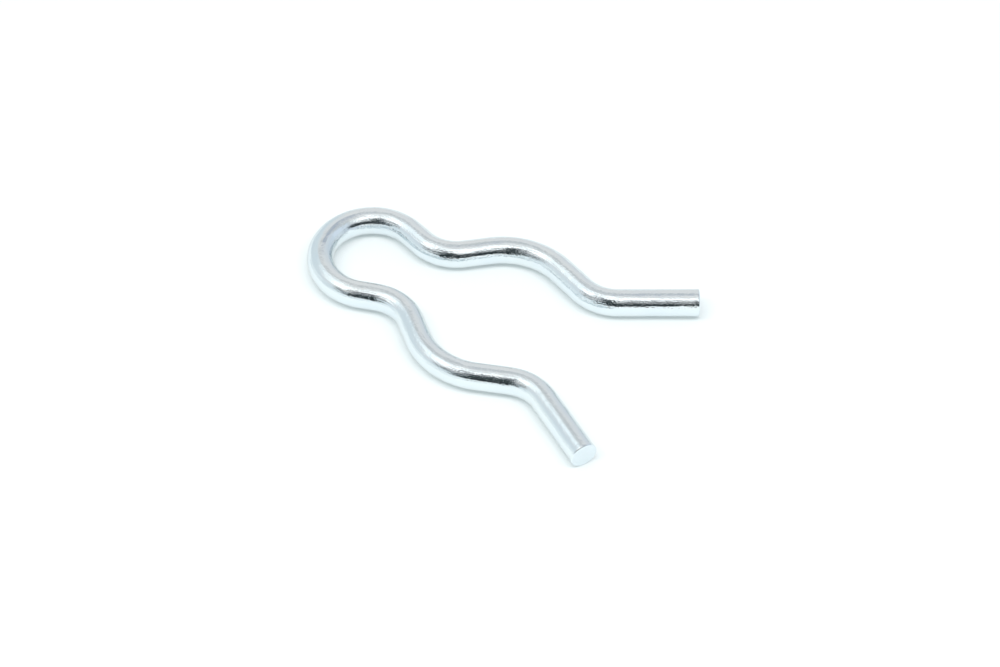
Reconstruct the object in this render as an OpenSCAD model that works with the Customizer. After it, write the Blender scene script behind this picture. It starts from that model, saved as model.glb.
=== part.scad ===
// Spring wire retaining clip for a hitch pin.
//
// One length of round spring wire. It makes a round head, and from the head
// two mirror-image waved legs run side by side. Each leg dips in at the neck,
// bows out at the grip, dips in again at the mouth, and ends in a straight
// tip that splays outwards. The pin is held crosswise between the two grips.
//
// The clip lies flat on Z = 0. The origin is on the axis of the pin that the
// grips hold. +X runs from the head to the open tips, and +Y is the left leg.
// Every radius is measured to the middle of the wire.

/* [Wire] */
// Diameter of the round wire
wire_d = 3; // [2:0.1:3.6]
// Bevel around each cut end
end_bevel = 0.15; // [0.05:0.05:0.4]

/* [Head] */
// Radius of the round head
head_r = 5.5; // [5:0.1:8]
// How steeply each leg leaves the head towards the other leg, in degrees
neck_in = 18.2; // [8:0.1:26]
// Straight wire between the head and the neck bend
head_run = 1.9; // [0.4:0.1:4]

/* [Neck and grip] */
// Radius of the bends at the neck and at the mouth
bend_r = 5; // [4:0.1:7]
// How steeply each leg opens from the neck to the grip, in degrees
grip_out = 40.5; // [30:0.1:50]
// Straight wire between the neck and the grip
neck_run = 2.8; // [0.4:0.1:5]
// Radius of the bowed grip
grip_r = 7.9; // [6:0.1:10]

/* [Mouth and tips] */
// How steeply each leg closes from the grip to the mouth, in degrees
mouth_in = 20.7; // [12:0.1:26]
// Straight wire between the grip and the mouth
mouth_run = 3.6; // [0.4:0.1:5]
// How steeply the tips splay outwards, in degrees
tip_out = 30.9; // [20:0.1:44]
// Length of each straight tip, with its bevel
tip_len = 8.6; // [5:0.1:14]

/* [Hidden] */
$fn = 96;
wire_r = wire_d / 2;

// A leg is a chain of stretches. A straight one is [length, 0] and a bend is
// [radius, turn], where a turn is positive away from the clip's centre line.
LEG = [
    [head_run, 0],
    [bend_r, neck_in + grip_out],
    [neck_run, 0],
    [grip_r, -(grip_out + mouth_in)],
    [mouth_run, 0],
    [bend_r, mouth_in + tip_out],
];
GRIP = 3; // place of the grip bend in LEG

// A pose is [x, y, heading]. The left leg starts where the head ends, and
// these poses are counted from the middle of the head.
START = [head_r * sin(neck_in), head_r * cos(neck_in), -neck_in];

// Middle of a bend that starts at pose p
function bend_centre(p, s) =
    [p.x, p.y] + sign(s[1]) * s[0] * [-sin(p[2]), cos(p[2])];
// Pose at the end of stretch s, when it starts at pose p
function after(p, s) =
    s[1] == 0
    ? [p.x + s[0] * cos(p[2]), p.y + s[0] * sin(p[2]), p[2]]
    : let (c = bend_centre(p, s), h = p[2] + s[1])
      [c.x + sign(s[1]) * s[0] * sin(h), c.y - sign(s[1]) * s[0] * cos(h), h];
// Pose at the start of stretch i of a leg
function pose(i) = i == 0 ? START : after(pose(i - 1), LEG[i - 1]);

// The crests of the two grips are level with the pin's axis
grip_x = bend_centre(pose(GRIP), LEG[GRIP]).x;

// Stretches meet face to face, so each is placed in a coarse step and a fine
// one, which together hold more digits than a single step does.
function coarse(v) = round(v * 1000) / 1000;
function coarse_turn(a) =
    atan2(round(sin(a) * 1e6) / 1e6, round(cos(a) * 1e6) / 1e6);
module move_to(x, y) {
    translate([coarse(x), coarse(y), 0])
        translate([x - coarse(x), y - coarse(y), 0])
            children();
}
module face_along(a) {
    rotate([0, 0, a])
        rotate([0, 0, a - coarse_turn(a)])
            children();
}

// Round wire bent about the Z axis, from angle a through sweep degrees
module bent_wire(r, a, sweep) {
    rotate_extrude(angle = sweep, start = a)
        translate([r, 0])
            rotate(-90)
                circle(d = wire_d);
}

// Straight round wire from pose p along its heading. It tapers by bevel.
module straight_wire(p, length, bevel = 0) {
    move_to(p.x, p.y)
        face_along(p[2])
            rotate([0, 90, 0])
                cylinder(r1 = wire_r, r2 = wire_r - bevel, h = length);
}

module stretch(p, s) {
    if (s[1] == 0)
        straight_wire(p, s[0]);
    else {
        c = bend_centre(p, s);
        first = s[1] > 0 ? p[2] - 90 : p[2] + s[1] + 90;
        move_to(c.x, c.y)
            bent_wire(s[0], first, abs(s[1]));
    }
}

// Straight tip, cut square, with its edge broken
module tip(p) {
    body = [tip_len - end_bevel, 0];
    stretch(p, body);
    straight_wire(after(p, body), end_bevel, end_bevel);
}

module head() {
    bent_wire(head_r, 90 - neck_in, 180 + 2 * neck_in);
}

module left_leg() {
    for (i = [0 : len(LEG) - 1])
        stretch(pose(i), LEG[i]);
    tip(pose(len(LEG)));
}

module wire_clip() {
    color([0.8, 0.87, 0.9])
        translate([-grip_x, 0, wire_r])
            union() {
                head();
                left_leg();
                mirror([0, 1, 0]) left_leg();
            }
}

wire_clip();
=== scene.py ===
"""Looks of the hitch pin spring clip: bright zinc-plated spring wire, lying on a pale floor in soft studio light."""

import math

import bpy
import numpy as np
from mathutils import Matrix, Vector


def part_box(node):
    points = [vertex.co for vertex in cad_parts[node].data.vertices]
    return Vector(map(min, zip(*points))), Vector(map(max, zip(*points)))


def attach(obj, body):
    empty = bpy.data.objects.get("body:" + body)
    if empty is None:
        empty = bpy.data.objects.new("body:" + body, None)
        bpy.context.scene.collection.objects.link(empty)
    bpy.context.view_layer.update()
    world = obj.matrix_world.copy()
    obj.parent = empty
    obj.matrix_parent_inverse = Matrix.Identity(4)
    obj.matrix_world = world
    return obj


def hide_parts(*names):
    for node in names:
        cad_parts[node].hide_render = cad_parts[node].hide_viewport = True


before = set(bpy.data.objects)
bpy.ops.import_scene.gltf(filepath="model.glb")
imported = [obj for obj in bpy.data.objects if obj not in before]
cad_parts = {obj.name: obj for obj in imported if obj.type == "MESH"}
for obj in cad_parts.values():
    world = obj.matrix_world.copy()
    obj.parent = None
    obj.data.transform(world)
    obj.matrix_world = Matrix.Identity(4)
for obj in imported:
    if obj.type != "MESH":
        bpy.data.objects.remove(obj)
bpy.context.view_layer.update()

MM = 0.001

# ---------------------------------------------------------------- the wire's line, in millimetres
# The same bends as in the CAD source. The CAD node's own box is used to place them.
WIRE_R = 1.5
HEAD_R = 5.5
NECK_IN, GRIP_OUT, MOUTH_IN, TIP_OUT = 18.2, 40.5, 20.7, 30.9
BEND_R, GRIP_R = 5.0, 7.9
TIP_LEN = 8.6
LEG = [  # (length, 0) is straight, and (radius, turn) is a bend, positive away from the centre line
    (1.9, 0),
    (BEND_R, NECK_IN + GRIP_OUT),
    (2.8, 0),
    (GRIP_R, -(GRIP_OUT + MOUTH_IN)),
    (3.6, 0),
    (BEND_R, MOUTH_IN + TIP_OUT),
    (TIP_LEN, 0),
]


def run(pose, stretch, t):
    """The pose (x, y, heading in degrees) a share t along a stretch that starts at pose."""
    x, y, h = pose
    a = math.radians(h)
    size, turn = stretch
    if turn == 0:
        return x + size * t * math.cos(a), y + size * t * math.sin(a), h
    side = math.copysign(1, turn)
    cx, cy = x - side * size * math.sin(a), y + side * size * math.cos(a)
    b = math.radians(h + turn * t)
    return cx + side * size * math.sin(b), cy - side * size * math.cos(b), h + turn * t


def length(stretch):
    return stretch[0] if stretch[1] == 0 else stretch[0] * math.radians(abs(stretch[1]))


def leg_line(step):
    """(x, y, heading, curvature) along the left leg, from the head to the tip, and the length at each."""
    pose = (
        HEAD_R * math.sin(math.radians(NECK_IN)),
        HEAD_R * math.cos(math.radians(NECK_IN)),
        -NECK_IN,
    )
    out, at, done = [], [], 0.0
    for s in LEG:
        n = max(2, round(length(s) / step))
        bend = 0 if s[1] == 0 else math.copysign(1 / s[0], s[1])
        for k in range(n):
            out.append((*run(pose, s, k / n), bend))
            at.append(done + length(s) * k / n)
        done += length(s)
        pose = run(pose, s, 1)
    out.append((*pose, 0.0))
    at.append(done)
    return np.array(out), np.array(at)


STEP = 0.115
leg, leg_at = leg_line(STEP)
head_sweep = 180 + 2 * NECK_IN
head_len = HEAD_R * math.radians(head_sweep)
n_head = round(head_len / STEP)
# From the left tip, back along the left leg, round the head, and out along the right leg.
rows = [(x, y, h + 180, -b) for x, y, h, b in leg[::-1]]
s_at = list(leg_at[-1] - leg_at[::-1])
for k in range(1, n_head):
    a = 90 - NECK_IN + head_sweep * k / n_head
    rows.append(
        (
            HEAD_R * math.cos(math.radians(a)),
            HEAD_R * math.sin(math.radians(a)),
            a + 90,
            1 / HEAD_R,
        )
    )
    s_at.append(leg_at[-1] + head_len * k / n_head)
rows += [(x, -y, -h, -b) for x, y, h, b in leg]
s_at += list(leg_at[-1] + head_len + leg_at)
line = np.array(rows)
s_at = np.array(s_at)
TOTAL = s_at[-1]

# Placed by the CAD node's box: its least x is the head's outside, and its lowest z is what it lies on.
low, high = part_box("wire_clip")
line[:, 0] += (low.x / MM) + HEAD_R + WIRE_R
base_z = low.z / MM + WIRE_R

# ---------------------------------------------------------------- the wire's surface
AROUND = 96
EDGE = 0.13  # radius that the shear and the plating leave on a cut end


def ripple(s, phi, seed, waves, amount):
    """Long, shallow unevenness of drawn and bent wire, in millimetres of radius: a sum of waves along and around it."""
    rng = np.random.RandomState(seed)
    total = np.zeros(np.broadcast(s, phi).shape)
    for wavelength, order in waves:
        for _ in range(2):
            k = 2 * math.pi / (wavelength * rng.uniform(0.8, 1.25))
            total += np.sin(k * s + rng.uniform(0, 6.283)) * np.cos(
                order * phi + rng.uniform(0, 6.283)
            )
    return amount * total / math.sqrt(2 * len(waves))


WAVES = [(5.5, 1), (3.4, 2), (2.3, 3), (1.7, 4), (1.3, 5), (3.0, 7)]


def build_wire():
    heading = np.radians(line[:, 2])
    forward = np.stack([np.cos(heading), np.sin(heading), 0 * heading], 1)
    left = np.stack([-np.sin(heading), np.cos(heading), 0 * heading], 1)
    up = np.array([0.0, 0.0, 1.0])
    centre = np.stack([line[:, 0], line[:, 1], 0 * heading + base_z], 1)
    phi = 2 * math.pi * np.arange(AROUND + 1) / AROUND - math.pi  # both ends are the underside

    # Rings: the cut face, its round edge, the wire, and the same at the other end.
    rings = []  # (centre, left, radius, s, is the face)
    steps = [0.0, 0.35, 0.7, 0.92, 1.0]
    face_r = WIRE_R - EDGE

    def end_rings(i, outward):
        made = []
        for f in steps:
            made.append((centre[i], left[i], face_r * f, s_at[i], 1.0))
        for a in (18, 36, 54, 72):
            r = face_r + EDGE * math.sin(math.radians(a))
            back = EDGE * (1 - math.cos(math.radians(a)))
            made.append(
                (
                    centre[i] - outward * forward[i] * back,
                    left[i],
                    r,
                    s_at[i] - outward * back,
                    1.0 - a / 90,
                )
            )
        return made

    rings += end_rings(0, -1)[0:]
    first_full = len(rings)
    inside = (s_at >= EDGE) & (s_at <= TOTAL - EDGE)
    for i in np.nonzero(inside)[0]:
        rings.append((centre[i], left[i], WIRE_R, s_at[i], 0.0))
    last_full = len(rings) - 1
    rings += end_rings(len(line) - 1, 1)[::-1]

    c = np.array([r[0] for r in rings])
    nrm = np.array([r[1] for r in rings])
    rad = np.array([r[2] for r in rings])
    s = np.array([r[3] for r in rings])
    face = np.array([r[4] for r in rings])
    m = len(rings)

    # The unevenness only takes metal away, and there is none along the line that the wire lies on.
    wobble = ripple(s[:, None], phi[None, :-1], 11, WAVES, 0.006) - 0.02
    wobble = np.minimum(wobble, 0)
    fade = np.clip(np.minimum(s, TOTAL - s) / 0.6, 0, 1)[:, None]
    fade = fade * np.clip((math.pi - np.abs(phi[None, :-1])) / 0.9, 0, 1) ** 2
    r_all = rad[:, None] * (1 + wobble * fade / WIRE_R)
    d = (
        np.cos(phi[None, :-1, None]) * up[None, None, :]
        + np.sin(phi[None, :-1, None]) * nrm[:, None, :]
    )
    pts = c[:, None, :] + d * r_all[:, :, None]
    # The face's first ring has no radius: one point at each end.
    verts = [c[0]] + list(pts[1:-1].reshape(-1, 3)) + [c[-1]]
    verts = np.array(verts) * MM

    def vid(ring, k):
        return 1 + (ring - 1) * AROUND + k % AROUND

    faces, corner_ring, corner_k = [], [], []
    for k in range(AROUND):
        faces.append((0, vid(1, k), vid(1, k + 1)))
        corner_ring += [0, 1, 1]
        corner_k += [k, k, k + 1]
    for ring in range(1, m - 2):
        for k in range(AROUND):
            faces.append(
                (vid(ring, k), vid(ring + 1, k), vid(ring + 1, k + 1), vid(ring, k + 1))
            )
            corner_ring += [ring, ring + 1, ring + 1, ring]
            corner_k += [k, k, k + 1, k + 1]
    last = len(verts) - 1
    for k in range(AROUND):
        faces.append((vid(m - 2, k), last, vid(m - 2, k + 1)))
        corner_ring += [m - 2, m - 1, m - 2]
        corner_k += [k, k, k + 1]

    mesh = bpy.data.meshes.new("zinc_wire")
    mesh.from_pydata(verts.tolist(), [], faces)
    mesh.validate()
    for p in mesh.polygons:
        p.use_smooth = True

    # Place in the straight wire, in millimetres: along it, and across it. Noise in this space has no seam.
    vert_s = np.concatenate([[s[0]], np.repeat(s[1:-1], AROUND), [s[-1]]])
    vert_r = np.concatenate([[0.0], np.repeat(rad[1:-1], AROUND), [0.0]])
    vert_phi = np.concatenate([[0.0], np.tile(phi[:-1], m - 2), [0.0]])
    place = np.stack(
        [vert_s, vert_r * np.cos(vert_phi), vert_r * np.sin(vert_phi)], 1
    ).astype(np.float32)
    a = mesh.attributes.new("wire_place", "FLOAT_VECTOR", "POINT")
    a.data.foreach_set("vector", place.ravel())
    # 1 on a cut face, 0 on the drawn surface
    a = mesh.attributes.new("cut_face", "FLOAT", "POINT")
    vert_face = np.concatenate([[1.0], np.repeat(face[1:-1], AROUND), [1.0]])
    a.data.foreach_set("value", vert_face.astype(np.float32))
    # How sharply the wire is bent here, from 0 to 1. Bent wire is rougher.
    bend = np.interp(s, s_at, np.abs(line[:, 3])) * BEND_R
    kernel = np.ones(15) / 15
    bend = np.convolve(np.pad(bend, 7, mode="edge"), kernel, mode="valid")
    a = mesh.attributes.new("bent", "FLOAT", "POINT")
    vert_bend = np.concatenate([[0.0], np.repeat(bend[1:-1], AROUND), [0.0]])
    a.data.foreach_set("value", np.clip(vert_bend, 0, 1).astype(np.float32))

    # The wire unrolled in three strips, and its two cut faces beside them.
    uv = mesh.uv_layers.new(name="OFBake")
    ring_id, k_id = np.array(corner_ring), np.array(corner_k)
    # filled in by lay_out(), which may split a ring's corners between strips
    lay_out(mesh, uv, ring_id, k_id, s, rad, phi, first_full, last_full)
    return mesh


STRIPS = 3


def lay_out(mesh, uv, ring_id, k_id, s, rad, phi, first_full, last_full):
    n_faces = len(mesh.polygons)
    start = np.array([p.loop_start for p in mesh.polygons])
    count = np.array([p.loop_total for p in mesh.polygons])
    face_of = np.repeat(np.arange(n_faces), count)
    around_len = 2 * math.pi * WIRE_R
    strip_len = TOTAL / STRIPS
    gap = 0.35
    side = max(strip_len + 2 * gap, STRIPS * (around_len + gap) + 3 * WIRE_R + 2 * gap)
    face_s = np.zeros(n_faces)
    np.add.at(face_s, face_of, s[ring_id])
    face_s /= count
    strip = np.clip((face_s / strip_len).astype(int), 0, STRIPS - 1)[face_of]
    x = gap + s[ring_id] - strip * strip_len
    y = gap + strip * (around_len + gap) + (phi[0] * 0 + (k_id / AROUND)) * around_len
    # cut faces and their round edges: flat discs
    cap0 = np.zeros(n_faces, bool)
    cap1 = np.zeros(n_faces, bool)
    np.logical_or.at(cap0, face_of, ring_id < first_full - 1)
    np.logical_or.at(cap1, face_of, ring_id > last_full + 1)
    top = gap + STRIPS * (around_len + gap) + WIRE_R + 0.1
    for cap, mid in ((cap0[face_of], gap + WIRE_R + 0.1), (cap1[face_of], 3 * gap + 3 * WIRE_R + 0.3)):
        angle = 2 * math.pi * k_id / AROUND
        end_s = 0.0 if mid < 2.5 else TOTAL
        spread = rad[ring_id] + np.abs(s[ring_id] - end_s) * 0.6
        x = np.where(cap, mid + spread * np.cos(angle), x)
        y = np.where(cap, top + spread * np.sin(angle), y)
    uv.data.foreach_set("uv", (np.stack([x, y], 1) / side).astype(np.float32).ravel())


# ---------------------------------------------------------------- node helpers
class Nodes:
    """Short calls for building a node tree. Each returns an output socket."""

    def __init__(self, tree):
        self.tree = tree

    def node(self, kind, **settings):
        n = self.tree.nodes.new(kind)
        for k, v in settings.items():
            setattr(n, k, v)
        return n

    def put(self, value, socket):
        if isinstance(value, bpy.types.NodeSocket):
            self.tree.links.new(value, socket)
        else:
            socket.default_value = value

    def math(self, op, a, b=None, c=None, clamp=False):
        n = self.node("ShaderNodeMath", operation=op, use_clamp=clamp)
        for i, v in enumerate((a, b, c)):
            if v is not None:
                self.put(v, n.inputs[i])
        return n.outputs[0]

    def dot(self, v, w):
        n = self.node("ShaderNodeVectorMath", operation="DOT_PRODUCT")
        self.put(v, n.inputs[0])
        self.put(w, n.inputs[1])
        return n.outputs["Value"]

    def ramp(self, x, a, b, lo=0.0, hi=1.0):
        """lo below a, hi above b, and smooth between. b may be below a."""
        n = self.node("ShaderNodeMapRange", interpolation_type="SMOOTHSTEP", clamp=True)
        if a <= b:
            values = (x, a, b, lo, hi)
        else:
            values = (x, b, a, hi, lo)
        for i, v in enumerate(values):
            self.put(v, n.inputs[i])
        return n.outputs[0]

    def mix(self, share, a, b):
        n = self.node("ShaderNodeMix", data_type="RGBA", clamp_factor=True)
        self.put(share, n.inputs["Factor"])
        self.put(a, n.inputs[6])
        self.put(b, n.inputs[7])
        return n.outputs[2]

    def mixf(self, share, a, b):
        n = self.node("ShaderNodeMix", data_type="FLOAT", clamp_factor=True)
        self.put(share, n.inputs["Factor"])
        self.put(a, n.inputs[2])
        self.put(b, n.inputs[3])
        return n.outputs[0]

    def scaled(self, vector, scale, shift=(0, 0, 0)):
        n = self.node("ShaderNodeMapping", vector_type="POINT")
        self.put(vector, n.inputs["Vector"])
        n.inputs["Scale"].default_value = scale
        n.inputs["Location"].default_value = shift
        return n.outputs[0]

    def noise(self, vector, scale, detail=2.0, rough=0.5, distort=0.0):
        n = self.node("ShaderNodeTexNoise", noise_dimensions="3D")
        self.put(vector, n.inputs["Vector"])
        n.inputs["Scale"].default_value = scale
        n.inputs["Detail"].default_value = detail
        n.inputs["Roughness"].default_value = rough
        n.inputs["Distortion"].default_value = distort
        return n.outputs["Fac"]


# ---------------------------------------------------------------- bright zinc plate
def zinc_material():
    m = bpy.data.materials.new("bright_zinc_wire")
    m.use_nodes = True
    tree = m.node_tree
    tree.nodes.clear()
    g = Nodes(tree)
    out = g.node("ShaderNodeOutputMaterial")
    bsdf = g.node("ShaderNodeBsdfPrincipled")
    tree.links.new(bsdf.outputs[0], out.inputs[0])
    place = g.node("ShaderNodeAttribute", attribute_name="wire_place").outputs["Vector"]
    cut = g.node("ShaderNodeAttribute", attribute_name="cut_face").outputs["Fac"]
    bent = g.node("ShaderNodeAttribute", attribute_name="bent").outputs["Fac"]

    # Draw lines run along the wire, and the plate has a fine pebbled grain. Heights are in millimetres.
    lines = g.noise(g.scaled(place, (0.08, 1, 1)), 3.4, 1.0, 0.5)
    fine_lines = g.noise(g.scaled(place, (0.08, 1, 1), (7, 3, 1)), 11.0, 1.0, 0.5)
    grain = g.noise(g.scaled(place, (0.8, 1, 1), (2, 9, 4)), 6.6, 1.0, 0.5)
    patch = g.ramp(g.noise(g.scaled(place, (0.5, 0.5, 0.5), (4, 1, 8)), 1.0, 1.0, 0.5), 0.38, 0.62)
    # The grain is the same all over, and the lines are deeper where the wire is bent.
    much = g.math("MULTIPLY_ADD", bent, 0.6, g.math("MULTIPLY_ADD", patch, 0.5, 0.35))
    height = g.math(
        "ADD",
        g.math("MULTIPLY", much, g.math("MULTIPLY_ADD", lines, 0.036, g.math("MULTIPLY", fine_lines, 0.0012))),
        g.math("MULTIPLY", grain, 0.020),
    )
    # A cut face has the fine parallel marks of the shear.
    shear = g.math("MULTIPLY", g.noise(g.scaled(place, (1, 6, 0.7)), 3.0, 2.0, 0.5), 0.02)
    height = g.mixf(cut, height, shear)
    bump = g.node("ShaderNodeBump")
    bump.inputs["Strength"].default_value = 1.0
    bump.inputs["Distance"].default_value = MM
    g.put(height, bump.inputs["Height"])
    tree.links.new(bump.outputs[0], bsdf.inputs["Normal"])

    # Slight blue and pale patches of the passivation.
    tone = g.ramp(g.noise(g.scaled(place, (0.25, 0.4, 0.4), (3, 3, 3)), 1.0, 2.0, 0.5), 0.3, 0.7)
    colour = g.mix(tone, (0.81, 0.872, 0.905, 1), (0.837, 0.89, 0.905, 1))
    colour = g.mix(cut, colour, (0.813, 0.878, 0.913, 1))
    g.put(colour, bsdf.inputs["Base Color"])
    bsdf.inputs["Metallic"].default_value = 1.0
    bsdf.inputs["Specular Tint"].default_value = (0.80, 0.78, 0.77, 1)
    rough = g.mixf(patch, 0.03, 0.05)
    rough = g.mixf(cut, rough, 0.3)
    g.put(rough, bsdf.inputs["Roughness"])
    return m


mesh = build_wire()
wire = bpy.data.objects.new("sprung_wire_clip", mesh)
bpy.context.scene.collection.objects.link(wire)
zinc = zinc_material()
mesh.materials.append(zinc)
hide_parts("wire_clip")
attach(wire, "root")
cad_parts["wire_clip"].data.materials.clear()
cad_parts["wire_clip"].data.materials.append(zinc)

# ---------------------------------------------------------------- floor
# A pale table, lit a little from below, so the clip's shadow on it is faint.
size = 3.0
floor_mesh = bpy.data.meshes.new("floor")
floor_mesh.from_pydata(
    [(-size, -size, 0), (size, -size, 0), (size, size, 0), (-size, size, 0)],
    [],
    [(0, 1, 2, 3)],
)
floor = bpy.data.objects.new("floor", floor_mesh)
floor.location.z = low.z - 1e-6
bpy.context.scene.collection.objects.link(floor)
fm = bpy.data.materials.new("white_floor")
fm.use_nodes = True
fm.node_tree.nodes.clear()
g = Nodes(fm.node_tree)
f_out = g.node("ShaderNodeOutputMaterial")
f_diff = g.node("ShaderNodeBsdfDiffuse")
f_diff.inputs["Color"].default_value = (0.60, 0.615, 0.615, 1)
f_glow = g.node("ShaderNodeEmission")
f_glow.inputs["Color"].default_value = (0.86, 1.0, 1.02, 1)
f_glow.inputs["Strength"].default_value = 0.28
f_both = g.node("ShaderNodeAddShader")
fm.node_tree.links.new(f_diff.outputs[0], f_both.inputs[0])
fm.node_tree.links.new(f_glow.outputs[0], f_both.inputs[1])
fm.node_tree.links.new(f_both.outputs[0], f_out.inputs[0])
floor_mesh.materials.append(fm)

# ---------------------------------------------------------------- light
# A soft white tent with a soft box overhead and a dark opening on the camera's side.
RIGHT = (0.8590, 0.5120, 0.0)
FRONT = (0.5120, -0.8590, 0.0)


def studio():
    world = bpy.data.worlds.new("studio")
    bpy.context.scene.world = world
    world.use_nodes = True
    tree = world.node_tree
    tree.nodes.clear()
    g = Nodes(tree)
    out = g.node("ShaderNodeOutputWorld")
    back = g.node("ShaderNodeBackground")
    tree.links.new(back.outputs[0], out.inputs[0])
    d = g.node("ShaderNodeTexCoord").outputs["Generated"]
    u, w, z = g.dot(d, RIGHT), g.dot(d, FRONT), g.dot(d, (0, 0, 1))
    # X to the right and Y to the front, in degrees from straight up
    rho = g.math("MULTIPLY", g.math("ARCCOSINE", z), 57.29578)
    h = g.math("MAXIMUM", g.math("SQRT", g.math("ADD", g.math("MULTIPLY", u, u), g.math("MULTIPLY", w, w))), 1e-4)
    X = g.math("MULTIPLY", rho, g.math("DIVIDE", u, h))
    Y = g.math("MULTIPLY", rho, g.math("DIVIDE", w, h))

    turned = (g.math("MULTIPLY", g.math("ARCTAN2", X, Y), 57.29578), rho)  # bearing from the front, and rho

    def ellipse(cx, cy, rx, ry, turn, soft, plane=(X, Y)):
        """1 inside an ellipse in a plane, 0 outside, soft is the share of the radius that its edge takes."""
        t = math.radians(turn)
        dx, dy = g.math("SUBTRACT", plane[0], cx), g.math("SUBTRACT", plane[1], cy)
        a = g.math("ADD", g.math("MULTIPLY", dx, math.cos(t) / rx), g.math("MULTIPLY", dy, math.sin(t) / rx))
        b = g.math("ADD", g.math("MULTIPLY", dx, -math.sin(t) / ry), g.math("MULTIPLY", dy, math.cos(t) / ry))
        r = g.math("SQRT", g.math("ADD", g.math("MULTIPLY", a, a), g.math("MULTIPLY", b, b)))
        return g.ramp(r, 1 + soft / 2, 1 - soft / 2)

    # walls: neutral behind, a little blue on the right, and a little dimmer on the left
    wall = g.mix(g.ramp(X, -4, 63), (0.95, 0.94, 0.935, 1), (0.735, 0.82, 0.90, 1))
    wall = g.mix(g.ramp(X, -5, -28), wall, (0.83, 0.92, 0.965, 1))
    wall = g.mix(ellipse(52, -5, 16, 22, 0, 0.8), wall, (0.85, 0.94, 1.04, 1))
    # the table and its sweep, in front and on both sides
    wall = g.mix(g.ramp(X, 74, 87), wall, (1.06, 1.135, 1.15, 1))
    front = g.math("MULTIPLY", g.ramp(Y, 15, 35), g.ramp(X, 50, 30))
    low_side = g.math("MAXIMUM", g.math("MULTIPLY", front, g.ramp(rho, 72, 80)), g.ramp(X, -63, -88))
    wall = g.mix(low_side, wall, g.mix(g.ramp(X, -10, 8), (1.06, 1.135, 1.15, 1), (1.25, 1.31, 1.32, 1)))
    # the dim ceiling round the soft box, with a dimmer corner, and the glow at the box's rim
    wall = g.mix(ellipse(-3, 2, 39, 45, 16, 0.2), wall, (0.66, 0.69, 0.705, 1))
    wall = g.mix(ellipse(12, -30, 16, 7.5, -45, 0.65), wall, (0.515, 0.56, 0.655, 1))
    wall = g.mix(ellipse(-14, 7, 37, 33, 14, 0.8), wall, (0.98, 0.97, 0.966, 1))
    wall = g.mix(ellipse(-29, -11, 13, 21, 25, 0.9), wall, (1.22, 1.30, 1.33, 1))
    # the soft box is two overlapping panels: bright in the middle, and falling off at the rim
    for size, edge, glow in ((1.0, 0.85, (1.145, 1.24, 1.25, 1)), (0.72, 0.8, (1.62, 1.58, 1.55, 1))):
        panels = g.math(
            "MAXIMUM",
            ellipse(-26, 0, 17 * size, 13.5 * size, -40, edge),
            ellipse(4, 13.2, 25 * size, 12 * size, 20, edge),
        )
        wall = g.mix(panels, wall, glow)
    # the dark opening that the camera looks through, less dark on its left, and the camera's stand above it
    wall = g.mix(ellipse(-16, 30, 10, 17, -11, 0.35), wall, (0.36, 0.375, 0.395, 1))
    wall = g.mix(ellipse(-11, 38, 9, 15, 14, 0.15), wall, (0.09, 0.11, 0.115, 1))
    opening = g.math("MULTIPLY", ellipse(0, 55, 71, 19, 4, 0.25, turned), g.ramp(rho, 27, 60))
    opening = g.math("MULTIPLY", opening, g.math("SUBTRACT", 1.0, g.math("MULTIPLY", ellipse(-36, 32, 13, 13, 0, 0.9), 0.45)))
    lit = g.mix(opening, wall, (0.03, 0.042, 0.045, 1))
    tree.links.new(lit, back.inputs["Color"])
    back.inputs["Strength"].default_value = 0.865
    return world


studio()
scene = bpy.context.scene


def fill_light():
    """A wide fill above the camera, for the table. Its shadows fall behind the clip, and it makes no highlight."""
    lamp = bpy.data.lights.new("fill", "AREA")
    lamp.shape = "ELLIPSE"
    lamp.size, lamp.size_y = 1.0, 0.18
    lamp.energy = 2.45
    fill = bpy.data.objects.new("fill", lamp)
    scene.collection.objects.link(fill)
    way = (0.326 * Vector(FRONT) + Vector((0, 0, 0.946))).normalized()  # 19 degrees from straight up
    fill.location = way * 0.5
    fill.rotation_mode = "QUATERNION"
    fill.rotation_quaternion = (-way).to_track_quat("-Z", "Y")
    fill.visible_glossy = False


fill_light()
scene.view_settings.view_transform = "Standard"
scene.view_settings.look = "None"
scene.view_settings.exposure = 0.0
scene.view_settings.gamma = 1.0

# ---------------------------------------------------------------- camera
cam_data = bpy.data.cameras.new("camera")
cam_data.lens = 126.0
cam_data.sensor_width = 36.0
cam_data.clip_start, cam_data.clip_end = 0.01, 50.0
cam = bpy.data.objects.new("camera", cam_data)
scene.collection.objects.link(cam)
cam.location = (0.12779, -0.21352, 0.27786)
aim = Vector((0.001213, -0.001169, 0.0)) - cam.location
cam.rotation_mode = "QUATERNION"
cam.rotation_quaternion = aim.to_track_quat("-Z", "Y")
scene.camera = cam
